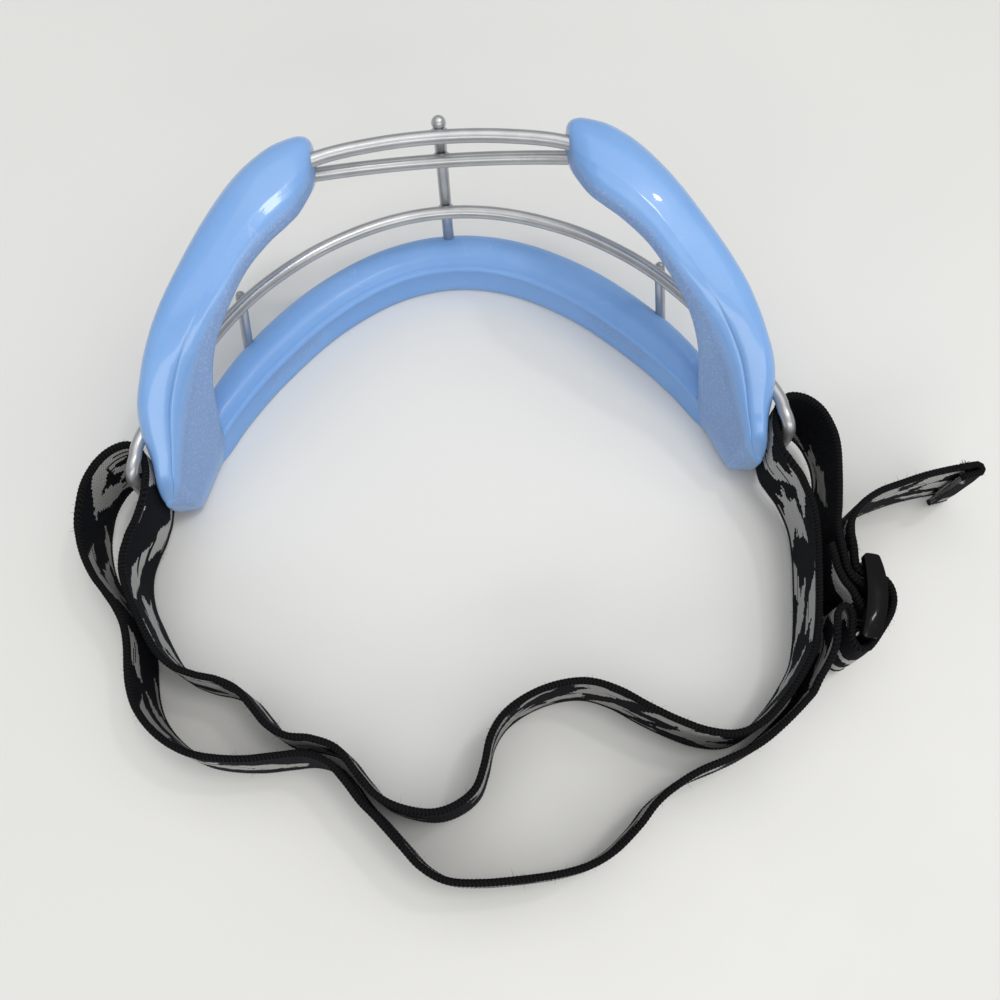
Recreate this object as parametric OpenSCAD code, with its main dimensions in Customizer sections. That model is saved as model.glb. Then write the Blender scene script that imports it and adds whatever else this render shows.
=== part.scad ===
// Field hockey goggles with a padded wire cage and an elastic head strap.
// The goggles lie upside down on their brow pad, as they are put down after play.
// X is to the side, Y is forward, away from the face, and Z is up.
// The origin is on the brow pad's resting face, at the middle.

/* [Wire cage] */
// Diameter of the rim, nose and eye wires
wire_d = 3.8; // [3.4:0.1:4.2]
// Diameter of the upright bars
bar_d = 3.4; // [3:0.1:3.8]
// Diameter of the rounded end of the centre bar
bar_tip_d = 4; // [3.8:0.1:4.6]
// Height of the rim wire at the nose
rim_front_z = 63; // [61:0.5:65]
// Height of the nose wire at the middle
nose_wire_z = 53.5; // [51:0.5:55]
// Rise of the nose wire towards the cheek pads
nose_wire_rise = 3.2; // [0:0.2:4]
// Height of the eye wire
eye_wire_z = 30.8; // [28:0.2:33]
// Radius of the front bend of the rim and nose wires
front_bend_r = 136; // [120:1:160]
// Distance of the centre bar in front of the brow pad's middle line
bar_forward = 4.6; // [4:0.1:5]
// Gap left between crossing wires, filled by the weld
weld_gap = 0.05; // [0.02:0.01:0.2]

/* [Padding] */
// Height of the brow pad
brow_h = 15; // [13:0.5:16]
// Depth of the brow pad behind its middle line
brow_back = 6.5; // [6:0.1:8]
// Depth of the brow pad in front of its middle line
brow_front = 8; // [7.6:0.1:9]
// Radius of the brow pad's arc at the middle
brow_r = 53; // [50:1:56]
// Highest point of the cheek pads
cheek_top_z = 68.5; // [67:0.5:72]
// Clearance of the padding round a wire
mould_gap = 0.05; // [0.02:0.01:0.1]

/* [Head strap] */
// Width of the strap
strap_w = 25; // [22:0.5:26]
// Thickness of the strap
strap_t = 2.2; // [1.6:0.1:2.4]
// Diameter of the strap loops' wire
loop_d = 3.5; // [3:0.1:3.8]
// Clearance of the strap between the legs of a strap loop
loop_clearance = 0.35; // [0.2:0.05:0.6]
// Height of a strap loop's lower leg above the table
loop_lift = 0.65; // [0.3:0.05:1]

/* [Strap slide] */
// Length of the slide along the strap
slide_len = 22.4; // [20:0.2:25]
// Depth of the side rails at the middle
slide_depth = 5.2; // [4.6:0.1:6]
// Thickness of a side rail
rail_t = 2.6; // [2:0.1:3]
// Thickness of the centre bar
slide_bar = 2.8; // [2.4:0.1:3]
// Clearance of the strap in the slots
slot_clearance = 0.6; // [0.4:0.1:1]
// Length of the folded hem at the strap's free end
hem_len = 9; // [6:0.5:12]

/* [Hidden] */
$fn = 48;
silicone = "#86b4ee";
steel = "#a7a39c";
webbing = "#17181b";
plastic = "#0d0d0e";
wire_sides = 8;
wire_r = wire_d / 2;
bar_r = bar_d / 2;
loop_r = loop_d / 2;
big = 200;

// Vector helpers
function unit(v) = v / norm(v);
function mix(a, b, t) = a + (b - a) * t;
function flip(p) = [for (q = p) [-q[0], for (k = [1:len(q) - 1]) q[k]]];
function back(p) = [for (i = [len(p) - 1:-1:0]) p[i]];
function part_of(p, a, b) = [for (i = [a:b]) p[i]];
function mirrored(p) = concat(back(flip(part_of(p, 1, len(p) - 1))), p);

// A smooth curve through hand-picked points, with n steps from point to point
function bend(a, b, c, d, t) = 0.5 * (2 * b + (c - a) * t + (2 * a - 5 * b + 4 * c - d) * t * t
    + (3 * b - a - 3 * c + d) * t * t * t);
function smooth(p, n) = let (m = len(p)) [
    for (i = [0:m - 2]) for (j = [0:n - 1])
        bend(i > 0 ? p[i - 1] : 2 * p[0] - p[1], p[i], p[i + 1],
            i < m - 2 ? p[i + 2] : 2 * p[m - 1] - p[m - 2], j / n),
    p[m - 1]];
function smooth_loop(p, n) = let (m = len(p)) [for (i = [0:m - 1]) for (j = [0:n - 1])
    bend(p[(i + m - 1) % m], p[i], p[(i + 1) % m], p[(i + 2) % m], j / n)];
function heading(p, i) = unit(p[min(i + 1, len(p) - 1)] - p[max(i - 1, 0)]);

// A skin over a row of rings, closed by flat caps or by meeting its own start
module skin(rings, loop = false) {
    n = len(rings[0]);
    m = len(rings);
    caps = loop ? [] : [[for (k = [0:n - 1]) k], [for (k = [n - 1:-1:0]) (m - 1) * n + k]];
    polyhedron(
        points = [for (r = rings) each r],
        faces = concat(caps, [
            for (i = [0:loop ? m - 1 : m - 2]) for (k = [0:n - 1])
                let (a = i * n, b = (i + 1) % m * n, q = (k + 1) % n)
                each [[a + k, b + k, b + q], [a + k, b + q, a + q]]]),
        convexity = 10);
}

// A round wire along a path; the ring starts on the side that faces away from the head
head_axis = [0, -58, 0];
function wire_ring(p, t, r) =
    let (o = [p[0], p[1], 0] - head_axis,
        e = unit(o - (o * t) * t),
        f = cross(t, e))
    [for (a = [0:360 / wire_sides:359]) p + r * (cos(a) * e + sin(a) * f)];
function wire_rings(p, r) = [for (i = [0:len(p) - 1]) wire_ring(p[i], heading(p, i), r)];
function loop_rings(p, r) = let (m = len(p))
    [for (i = [0:m - 1]) wire_ring(p[i], unit(p[(i + 1) % m] - p[(i + m - 1) % m]), r)];

// Wire paths. The right half is written down and the left half mirrors it.
cross_gap = wire_r + bar_r + weld_gap;
wire_y = bar_forward - cross_gap;
function front_y(x) = wire_y - x * x / (2 * front_bend_r);
rim_z = 7;
rim_half = [[0, wire_y, rim_front_z], [17, front_y(17), rim_front_z], [33, front_y(33) - 0.4, rim_front_z],
    [45, -9.5, rim_front_z - 1], [55, -19.5, rim_front_z - 3], [64, -33.5, rim_front_z - 7.5],
    [72, -46.5, rim_front_z - 14.8], [79.4, -57.5, rim_front_z - 25], [82, -65.6, 31.2], [82.3, -69.6, 25],
    [81.8, -69.8, 17.5], [79.6, -66, 10.5], [75.8, -57.5, 7.5], [69.8, -45.5, rim_z], [60.5, -32.3, rim_z],
    [47, -18.9, rim_z], [32, -7.9, rim_z], [16, -0.9, rim_z], [0, wire_y, rim_z]];
rim_steps = 2;
rim_path = smooth_loop(concat(rim_half, back(flip(part_of(rim_half, 1, len(rim_half) - 2)))), rim_steps);
nose_path = [for (x = [-42:6:42]) [x, front_y(x), nose_wire_z + nose_wire_rise * pow(x / 35, 2)]];
eye_steps = 2;
eye_path = smooth(mirrored([[0, wire_y, eye_wire_z], [14, -0.5, eye_wire_z], [28, -4.8, eye_wire_z],
    [42, -11.8, eye_wire_z], [56, -22.4, eye_wire_z], [67, -34.8, eye_wire_z], [73.4, -45, eye_wire_z - 0.4],
    [77.3, -54.5, eye_wire_z - 1.2], [79, -60.5, eye_wire_z - 1.8]]), eye_steps);

module rim_wire() {
    color(steel) skin(loop_rings(rim_path, wire_r), loop = true);
}
module nose_wire() {
    color(steel) skin(wire_rings(nose_path, wire_r));
}
module eye_wire() {
    color(steel) skin(wire_rings(eye_path, wire_r));
}

// Upright bars in front of the wires
bar_root_z = 9.5;
bar_tip_z = rim_front_z + 1.2;
module centre_bar_shape(r) {
    translate([0, bar_forward, bar_root_z]) cylinder(r = r, h = bar_tip_z - bar_root_z);
    translate([0, bar_forward, bar_tip_z]) sphere(d = bar_tip_d);
}
module centre_bar() {
    color(steel) centre_bar_shape(bar_r);
}
side_bar_d = bar_d - 0.4;
side_bar_r = side_bar_d / 2;
side_bar_top = [60.5, -22.3, eye_wire_z - 1];
side_bar_root = [62.6, -27.9, 10.8];
module side_bar_shape(r) {
    v = side_bar_top - side_bar_root;
    tilt = acos(v[2] / norm(v));
    turn = atan2(v[1], v[0]);
    translate(side_bar_root) rotate([0, 0, turn]) rotate([0, tilt, 0]) {
        cylinder(r = r, h = norm(v));
        translate([0, 0, norm(v)]) sphere(r = r);
    }
}
module side_bar_right() {
    color(steel) side_bar_shape(side_bar_r);
}
module side_bar_left() {
    color(steel) mirror([1, 0, 0]) side_bar_shape(side_bar_r);
}

// Strap loops: a thick wire staple at each temple that the strap turns round
loop_low_z = loop_lift + loop_r;
loop_high_z = loop_low_z + loop_d + strap_w + 2 * loop_clearance;
strap_high_z = (loop_low_z + loop_high_z) / 2;
loop_corner = 4.5;
loop_x = 88.9;
loop_y = -76.5;
loop_slant = 0.3;
function corner(z, side) = [for (a = [0:22.5:90]) let (d = loop_corner * (1 - sin(a)))
    [loop_x - loop_slant * d, loop_y + d, z - side * loop_corner * (1 - cos(a))]];
function leg(p, z) = smooth([for (q = p) [loop_x + q[0], loop_y + q[1], z]], 2);
leg_high = leg([[-8.1, 21], [-4.4, 14.6], [-1.9, 8.6]], loop_high_z);
leg_low = leg([[-11.3, 16], [-5.7, 13.9], [-1.9, 9.6]], loop_low_z);
loop_path = concat(leg_high, corner(loop_high_z, 1), back(corner(loop_low_z, -1)), back(leg_low));
leg_rings = 4;
module strap_loop() {
    skin(wire_rings(loop_path, loop_r));
}
module strap_loop_right() {
    color(steel) strap_loop();
}
module strap_loop_left() {
    color(steel) mirror([1, 0, 0]) strap_loop();
}

// Padding. An outline is a row of [across, up] in shares of a station's width and height,
// from the skin side (0) to the outer side (1).
brow_outline = [[0.05, 0.02], [0.3, 0], [0.55, 0], [0.78, 0.03], [0.93, 0.14], [1, 0.32], [0.99, 0.52],
    [0.93, 0.71], [0.82, 0.87], [0.66, 0.97], [0.48, 1], [0.31, 0.985], [0.16, 0.93], [0.06, 0.83],
    [0.02, 0.7], [0.03, 0.42], [0.01, 0.14]];
cheek_outline = [[0.06, 0.42], [0.3, 0.16], [0.6, 0.01], [0.82, 0.04], [0.95, 0.2], [1, 0.42], [0.985, 0.62],
    [0.93, 0.8], [0.82, 0.93], [0.66, 1], [0.48, 0.995], [0.3, 0.955], [0.15, 0.89], [0.05, 0.8],
    [0, 0.69], [0, 0.58], [0.02, 0.49]];
temple_outline = [[0.17, 0.01], [0.56, 0], [0.82, 0.01], [0.95, 0.07], [0.99, 0.22], [1, 0.46], [0.99, 0.7],
    [0.94, 0.86], [0.85, 0.95], [0.7, 1], [0.5, 0.985], [0.3, 0.935], [0.16, 0.84], [0.08, 0.7],
    [0.04, 0.52], [0.02, 0.32], [0.06, 0.11]];

// Brow pad stations, right half: [x, y, depth behind, depth in front, height]
function brow_y(x) = -x * x / (2 * brow_r);
brow_half = concat(
    [for (x = [0, 20, 40]) [x, brow_y(x), brow_back, brow_front, brow_h]],
    [[57, brow_y(57), brow_back, brow_front - 0.3, brow_h], [68.5, brow_y(68.5), brow_back, brow_front - 1.6, 14.5],
    [75, -55, 6, 5.2, 13.5], [77.5, -61, 4.6, 4.2, 11.5]]);
brow_path = smooth(mirrored(brow_half), 3);
function brow_ring(p, i) =
    let (t = unit([heading(p, i)[0], heading(p, i)[1]]), n = [-t[1], t[0]], s = p[i])
    [for (q = brow_outline) let (u = mix(-s[2], s[3], q[0])) [s[0] + u * n[0], s[1] + u * n[1], s[4] * q[1]]];
module brow_form() {
    skin([for (i = [0:len(brow_path) - 1]) brow_ring(brow_path, i)]);
}

// Cheek and temple stations, right side, from the nose round to the back of the temple:
// [outer x, outer y, skin x, skin y, lowest z, highest z, share of the temple outline]
cz = cheek_top_z;
bottom_lift = 0.3;
cheek_stations = [
    [33.6, 0.2, 33.9, -5.5, cz - 11.5, cz - 5, 0],
    [34.2, 2.6, 34.5, -10.5, cz - 14.2, cz - 2.4, 0],
    [36.2, 4, 36.2, -15, cz - 15.6, cz - 0.9, 0],
    [40, 3.4, 38.5, -19.2, cz - 16.4, cz - 0.1, 0],
    [46.5, 0.2, 41.4, -22.4, cz - 16.7, cz, 0],
    [54.5, -7, 46.3, -26.9, cz - 17.5, cz - 0.9, 0],
    [62.6, -17.4, 52.3, -33.1, cz - 19.5, cz - 3.4, 0.04],
    [70.6, -29.2, 57.6, -40.3, cz - 23.5, cz - 7.6, 0.12],
    [77.8, -40.4, 62.6, -46.8, cz - 30.5, cz - 12.6, 0.3],
    [82.3, -48.8, 66, -52, cz - 42, cz - 17.4, 0.55],
    [85, -54.4, 68.2, -56, 9, cz - 21.3, 0.8],
    [86.7, -60, 70, -60.2, 0.3, cz - 25.6, 1],
    [86.6, -65.5, 72.2, -65, 0, cz - 30.6, 1],
    [85, -71, 74.4, -70, 0.3, cz - 35.8, 1],
    [84, -75.8, 76, -74.6, 1.6, cz - 40.6, 1],
    [83.2, -79.4, 76.6, -78.4, 5, cz - 45.4, 1],
    [80.9, -81.6, 78.1, -81, 10, cz - 50.5, 1]];
cheek_path = smooth(cheek_stations, 2);
function cheek_ring(s) = [for (k = [0:len(cheek_outline) - 1])
    let (q = mix(cheek_outline[k], temple_outline[k], s[6]))
    [mix(s[2], s[0], q[0]), mix(s[3], s[1], q[0]), max(bottom_lift, mix(s[4], s[5], q[1]))]];
module cheek_form() {
    skin([for (s = cheek_path) cheek_ring(s)]);
}
module above_brow() {
    translate([-big, -big, brow_h]) cube(2 * big);
}

// Each pad is moulded round the stretches of wire that it covers
module buried(rings, a, b) {
    skin(part_of(rings, a, b));
}
module wires_in_cheek(side) {
    n = len(eye_path) - 1;
    m = len(nose_path) - 1;
    buried(loop_rings(rim_path, wire_r + mould_gap), (side ? 24 : 1) * rim_steps, (side ? 35 : 12) * rim_steps);
    buried(wire_rings(eye_path, wire_r + mould_gap), side ? 0 : n - 4 * eye_steps, side ? 4 * eye_steps : n);
    buried(wire_rings(nose_path, wire_r + mould_gap), side ? 0 : m - 2, side ? 2 : m);
    mirror([side, 0, 0]) buried(wire_rings(loop_path, loop_r + mould_gap), 0, leg_rings);
}
module wires_in_brow() {
    k = len(loop_path) - 1;
    buried(loop_rings(rim_path, wire_r + mould_gap), 9 * rim_steps, 27 * rim_steps);
    centre_bar_shape(bar_r + mould_gap);
    for (side = [0, 1]) mirror([side, 0, 0]) {
        buried(wire_rings(loop_path, loop_r + mould_gap), k - leg_rings, k);
        side_bar_shape(side_bar_r + mould_gap);
    }
}
module brow_pad() {
    color(silicone) difference() {
        union() {
            difference() {
                brow_form();
                above_brow();
            }
            for (side = [0, 1]) mirror([side, 0, 0]) difference() {
                cheek_form();
                above_brow();
            }
        }
        wires_in_brow();
    }
}
module cheek_pad(side) {
    color(silicone) difference() {
        intersection() {
            mirror([side, 0, 0]) cheek_form();
            above_brow();
        }
        wires_in_cheek(side);
    }
}
module cheek_pad_right() {
    cheek_pad(0);
}
module cheek_pad_left() {
    cheek_pad(1);
}

// Head strap: one flat band that stands on its edge along a route of [x, y, height of the middle, lean]
band_edge = 0.6;
function band_ring(p, i) =
    let (a = p[max(i - 1, 0)], b = p[min(i + 1, len(p) - 1)],
        t = unit([b[0] - a[0], b[1] - a[1], b[2] - a[2]]),
        side = unit([t[1], -t[0], 0]),
        rise = cross(side, t),
        up = cos(p[i][3]) * rise + sin(p[i][3]) * side,
        out = cos(p[i][3]) * side - sin(p[i][3]) * rise,
        c = [p[i][0], p[i][1], p[i][2]],
        h = strap_w / 2, g = strap_t / 2, e = band_edge)
    [for (q = [[g, e - h], [0, -h], [-g, e - h], [-g, h - e], [0, h], [g, h - e]]) c + q[0] * out + q[1] * up];
low = strap_w / 2;
high = strap_high_z;

// The slide's own frame: s runs back along the strap and n runs outwards
slide_at = [99.6, -124.2];
slide_turn = 12.7;
slide_z = (2 * rail_t + strap_w + slot_clearance) / 2;
along = [-sin(slide_turn), -cos(slide_turn)];
outward = [cos(slide_turn), -sin(slide_turn)];
function on_slide(s, n, z = slide_z, lean = 0) = let (c = slide_at + s * along + n * outward) [c[0], c[1], z, lean];
function threaded(p) = [for (q = p) on_slide(q[0], q[1])];

// Layers of strap round the centre bar: the sewn turn first, the free run over it
bar_in = 1.4;
bar_out = bar_in + slide_bar;
bar_half = slide_bar * 0.55;
lay = strap_t / 2 + 0.12;
sewn_side = bar_half + lay;
sewn_top = bar_out + lay;
free_top = sewn_top + strap_t + 0.2;
bar_mid = (bar_in + bar_out) / 2;
sewn_end = threaded([[-14, -8.35], [-11, -7.35], [-7.7, -6.4], [-4.4, -4.6], [-2, -2.5], [0.6, -0.9], [2.5, 0.6],
    [sewn_side, bar_mid], [2.5, sewn_top - 0.7], [0, sewn_top], [-2.5, sewn_top - 0.7], [-sewn_side - 0.1, bar_mid],
    [-4.1, 0], [-5.4, -2.2], [-8, -3.95], [-11, -4.75]]);
take_up = concat(threaded([[-15, -5.7]]), [[97.5, -103, 15.6, 0], [98.6, -98, 16, 0], [99.9, -90.8, 16.6, 0]]);
function round_loop(side, p) = [for (q = p) [side * loop_x + q[0], loop_y + q[1], high, 0]];
turn_right = round_loop(1, [[12.2, -5.5], [11.8, 0.5], [9.8, 6.1], [6.1, 9.7], [1.6, 10.5], [-1.9, 7.4], [-3.2, 2.8],
    [-3.25, -1.8]]);
inner_right = concat(round_loop(1, [[-2.9, -5.2], [-1.3, -8.6]]), [[90, -90, 16.3, 0], [91.8, -97.5, 15.5, 0],
    [91.8, -105.5, 14.5, 0], [90.8, -114, 13.6, 0], [89.4, -123, 12.8, 0], [88, -129.3, low, 0],
    [85.8, -135.6, low, 0], [81.8, -141.4, low, 0], [76.4, -147.4, low, 0], [70, -152.6, low, 0],
    [63.2, -155, low, 0], [56, -153.9, low, 0], [49, -150.8, low, 0], [42, -146.7, low, 0], [35, -142.1, low, 0],
    [27.7, -139.3, low, 0], [20, -139.4, low, 0], [12.4, -141.6, low, 0], [5.8, -145.6, low, 0],
    [1.8, -151, low, 0], [-0.4, -158, low, 0], [-3, -163.4, low, 0]]);
inner_left = [[-8, -166.8, low, 0], [-14, -168, low, 0], [-21.3, -166.3, low, 0], [-27, -163, low, 0],
    [-31.5, -157.5, low, 0], [-36.5, -151, low, 0], [-43, -148, low, 0], [-49, -146.9, low, 0],
    [-53.9, -143.7, low, 0], [-57.6, -139, low, 0], [-61.5, -134.3, low, 0], [-66.5, -131.5, low, 0],
    [-72.5, -129.7, low, 0], [-78, -127, low, 0], [-82, -123, low, 0], [-85.2, -117.6, low, 0],
    [-88, -111.8, low, 0], [-90.4, -106.2, 12.9, 0], [-91.4, -101, 13.6, 0], [-91.1, -96.3, 14.6, 0],
    [-89.6, -91.5, 15.6, 0], [-87.6, -87, 16.3, 0]];
turn_left = round_loop(-1, [[2.9, -5.4], [3.25, -1.8], [3.2, 2.8], [1.9, 7.4], [-1.6, 10.3], [-6.1, 9.3], [-10.1, 5.7],
    [-12.9, 0.2]]);
outer_left = [[-102.8, -82.5, high, 0], [-103, -88.5, 16, 0], [-101.8, -95, 15, 0], [-99.3, -101, 14, 0],
    [-96, -106, 13.3, 0], [-93, -110.6, 12.9, 0], [-90.8, -115.5, low, 0], [-89.7, -121, low, 0],
    [-89.2, -127, low, 0], [-88.4, -132, low, 0], [-86.6, -137, low, 0], [-83.3, -141.8, low, 0],
    [-78.8, -146, low, 0], [-73, -149.3, low, 0], [-66.5, -151, low, 0], [-59, -151.8, low, 0],
    [-51.5, -151.6, low, 0], [-44.8, -151.6, low, 0], [-39, -153.9, low, 0], [-34.7, -158.8, low, 0],
    [-31, -164, low, 0], [-27, -168.4, low, 0]];
outer_right = [[-21.5, -175, low, 0], [-17, -180.2, low, 0], [-11, -183.8, low, 0], [-3, -184.9, low, 0],
    [6, -184.9, low, 0], [15.5, -184.4, low, 0], [23, -183, low, 0], [29.5, -180, low, 0], [36, -174.8, low, 0],
    [40.5, -170.2, low, 0], [45.2, -166.9, low, 0], [52, -163.5, low, 0], [60, -161, low, 0],
    [67.5, -158.2, low, 0]];
feed = [[74.5, -153.8, 12.7, 0], on_slide(26.5, -11.8, 13.2), on_slide(21, -9.3, 14.2)];
free_run = concat([on_slide(16, -7.2, 15)], threaded([[12, -6.2], [7.5, -6.1], [4.6, -6], [2.8, -4.9], [2.8, -3.5],
    [4.6, -2.45], [8, -2.4], [11, -2.3], [13.1, -0.7], [12.9, 1.4], [11, 3], [8, 4.7], [5, 6.3], [2.4, 7.4],
    [-0.8, free_top + 0.1], [-4, 7.2], [-6.2, 5.3], [-6.7, 3], [-6.8, 1], [-8, -1.2], [-10, -1.95]]));

// The free tail leans a little as it leaves the slide, and ends in a folded hem
tail = [on_slide(-14, -2.4), on_slide(-18, -3.1, 15.3, 0), [101.6, -101.9, 15.1, 1], [105, -97.9, 14.9, 2],
    [110.4, -94.5, 14.7, 3], [116.6, -92.4, 14.5, 4], [123.4, -90.6, 14.4, 4], [130.2, -89.4, 14.3, 4],
    [136.2, -88.7, 14.2, 4]];
hem_from = tail[len(tail) - 1];
hem_lean = hem_from[3];
hem_dir = unit([hem_from[0], hem_from[1]] - [tail[7][0], tail[7][1]]);
hem_r = (strap_t + 0.3) / 2;
function folded(d, o, lean) = [hem_from[0] + d * hem_dir[0] + o * cos(hem_lean) * hem_dir[1],
    hem_from[1] + d * hem_dir[1] - o * cos(hem_lean) * hem_dir[0], hem_from[2] - o * sin(hem_lean), lean];
function fold_lean(a) = asin(sin(hem_lean) * cos(a) / norm([cos(a), sin(a) * cos(hem_lean)]));
hem = concat([for (a = [0:45:180]) folded(2 + hem_r * sin(a), hem_r * (1 - cos(a)), fold_lean(a))],
    [for (k = [1:3]) folded(2 - hem_len * k / 3, 2 * hem_r + 0.1 * k, -hem_lean)]);

// Every stretch ends on the ring that the next one starts with
stretches = [sewn_end, take_up, turn_right, inner_right, inner_left, turn_left, outer_left, outer_right, feed,
    free_run, concat(tail, hem)];
function starts(i) = i == 0 ? 0 : starts(i - 1) + len(stretches[i - 1]);
strap_steps = 2;
strap_path = smooth([for (p = stretches) each p], strap_steps);
strap_rings = [for (i = [0:len(strap_path) - 1]) band_ring(strap_path, i)];
module stretch(i) {
    last = i < len(stretches) - 1 ? starts(i + 1) * strap_steps : len(strap_path) - 1;
    color(webbing) skin(part_of(strap_rings, starts(i) * strap_steps, last));
}
module strap_sewn_end() {
    stretch(0);
}
module strap_take_up() {
    stretch(1);
}
module strap_turn_right() {
    stretch(2);
}
module strap_inner_right() {
    stretch(3);
}
module strap_inner_left() {
    stretch(4);
}
module strap_turn_left() {
    stretch(5);
}
module strap_outer_left() {
    stretch(6);
}
module strap_outer_right() {
    stretch(7);
}
module strap_feed() {
    stretch(8);
}
module strap_free_run() {
    stretch(9);
}
module strap_tail() {
    stretch(10);
}

// Strap slide: two bowed side rails joined by a centre bar and two end bars
rail_in = 0.1;
rail_out = rail_in + slide_depth;
rail_end_in = -1.2;
rail_end_out = 2.8;
function bow_r(rise) = (slide_len * slide_len / 4 + rise * rise) / (2 * rise);
rail_round = 0.9;
module rail_outline() {
    offset(r = rail_round) offset(delta = -rail_round) difference() {
        intersection() {
            translate([0, rail_out - bow_r(rail_out - rail_end_out)]) circle(r = bow_r(rail_out - rail_end_out), $fn = 96);
            translate([0, rail_in + 0.6]) circle(d = slide_len, $fn = 96);
        }
        translate([0, rail_in - bow_r(rail_in - rail_end_in)]) circle(r = bow_r(rail_in - rail_end_in), $fn = 96);
    }
}
module rounded(w, h, r) {
    square([w - 2 * r, h], center = true);
    square([w, h - 2 * r], center = true);
    for (x = [-1, 1]) for (y = [-1, 1]) translate([x * (w / 2 - r), y * (h / 2 - r)]) circle(r = r);
}
end_bar_s = 9.7;
end_bar_w = 2.2;
end_bar_h = 2;
end_bar_n = 0.8;
module slide_bars() {
    for (side = [-1, 1]) translate([side * end_bar_s, end_bar_n]) rounded(end_bar_w, end_bar_h, 0.8);
    translate([0, bar_mid]) rounded(2 * bar_half, slide_bar, 1);
}
module strap_slide() {
    color(plastic) translate([slide_at[0], slide_at[1], 0]) rotate([0, 0, -90 - slide_turn]) {
        for (z = [0, 2 * slide_z - rail_t]) translate([0, 0, z]) linear_extrude(rail_t) rail_outline();
        linear_extrude(2 * slide_z) slide_bars();
    }
}

rim_wire();
nose_wire();
eye_wire();
centre_bar();
side_bar_left();
side_bar_right();
strap_loop_left();
strap_loop_right();
brow_pad();
cheek_pad_left();
cheek_pad_right();
strap_turn_left();
strap_turn_right();
strap_inner_left();
strap_inner_right();
strap_outer_left();
strap_outer_right();
strap_feed();
strap_take_up();
strap_sewn_end();
strap_free_run();
strap_tail();
strap_slide();
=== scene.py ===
import math
import random

import bmesh
import bpy
from mathutils import Matrix, Vector, kdtree, noise


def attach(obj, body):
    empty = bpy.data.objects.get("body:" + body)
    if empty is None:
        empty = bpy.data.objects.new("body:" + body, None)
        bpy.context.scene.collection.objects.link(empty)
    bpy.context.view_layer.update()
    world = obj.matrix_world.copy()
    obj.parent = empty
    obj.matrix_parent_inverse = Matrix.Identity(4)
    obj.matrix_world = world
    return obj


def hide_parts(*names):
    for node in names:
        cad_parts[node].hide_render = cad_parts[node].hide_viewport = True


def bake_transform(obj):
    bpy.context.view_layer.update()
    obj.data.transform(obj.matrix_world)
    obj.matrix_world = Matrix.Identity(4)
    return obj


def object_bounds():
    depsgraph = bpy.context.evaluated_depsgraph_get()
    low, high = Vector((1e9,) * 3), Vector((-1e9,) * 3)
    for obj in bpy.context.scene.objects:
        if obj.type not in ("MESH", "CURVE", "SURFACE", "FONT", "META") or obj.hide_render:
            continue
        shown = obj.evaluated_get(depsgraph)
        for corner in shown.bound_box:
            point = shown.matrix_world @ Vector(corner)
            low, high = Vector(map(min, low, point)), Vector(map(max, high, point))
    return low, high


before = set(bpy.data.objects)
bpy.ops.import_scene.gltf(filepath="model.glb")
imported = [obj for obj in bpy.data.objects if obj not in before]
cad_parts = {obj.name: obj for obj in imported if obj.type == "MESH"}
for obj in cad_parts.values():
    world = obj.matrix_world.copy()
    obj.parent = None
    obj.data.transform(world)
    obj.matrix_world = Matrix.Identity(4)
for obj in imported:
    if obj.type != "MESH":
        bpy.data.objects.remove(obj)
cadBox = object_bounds()
mm = 0.001
print("frame loaded")


# The camera stands where the photograph was taken from
cameraView = {"frame": 1000, "focal": 1025, "sensor": 36, "tilt": 21.3, "yaw": 3.5, "roll": 1.0,
              "place": (2.8, -189, 282)}


def makeCamera(view):
    tilt, yaw, roll = (math.radians(view[k]) for k in ("tilt", "yaw", "roll"))
    turn = Matrix.Rotation(-yaw, 3, "Z")
    ahead = turn @ Vector((0, math.sin(tilt), -math.cos(tilt)))
    up = turn @ Vector((0, math.cos(tilt), math.sin(tilt)))
    right = turn @ Vector((1, 0, 0))
    up, right = math.cos(roll) * up + math.sin(roll) * right, math.cos(roll) * right - math.sin(roll) * up
    camera = bpy.data.objects.new("photoCamera", bpy.data.cameras.new("photoCamera"))
    camera.data.sensor_width = view["sensor"]
    camera.data.lens = view["sensor"] * view["focal"] / view["frame"]
    camera.data.clip_start = 0.01
    turned = Matrix((right, up, -ahead)).transposed().to_4x4()
    camera.matrix_world = Matrix.Translation(Vector(view["place"]) * mm) @ turned
    bpy.context.scene.collection.objects.link(camera)
    bpy.context.scene.camera = camera


makeCamera(cameraView)


# Curves through listed points
def bend(a, b, c, d, t):
    return [0.5 * (2 * q + (r - p) * t + (2 * p - 5 * q + 4 * r - s) * t * t + (3 * q - p - 3 * r + s) * t ** 3)
            for p, q, r, s in zip(a, b, c, d)]


def smoothRow(points, steps, closed=False):
    count = len(points)

    def at(i):
        if closed:
            return points[i % count]
        if i < 0:
            return [2 * p - q for p, q in zip(points[0], points[1])]
        if i >= count:
            return [2 * p - q for p, q in zip(points[-1], points[-2])]
        return points[i]

    row = [bend(at(i - 1), at(i), at(i + 1), at(i + 2), j / steps)
           for i in range(count if closed else count - 1) for j in range(steps)]
    return row if closed else row + [list(points[-1])]


def smoothStep(value, low, high):
    t = min(1, max(0, (value - low) / (high - low)))
    return t * t * (3 - 2 * t)


def flipX(points):
    return [[-p[0], *p[1:]] for p in points]


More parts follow.
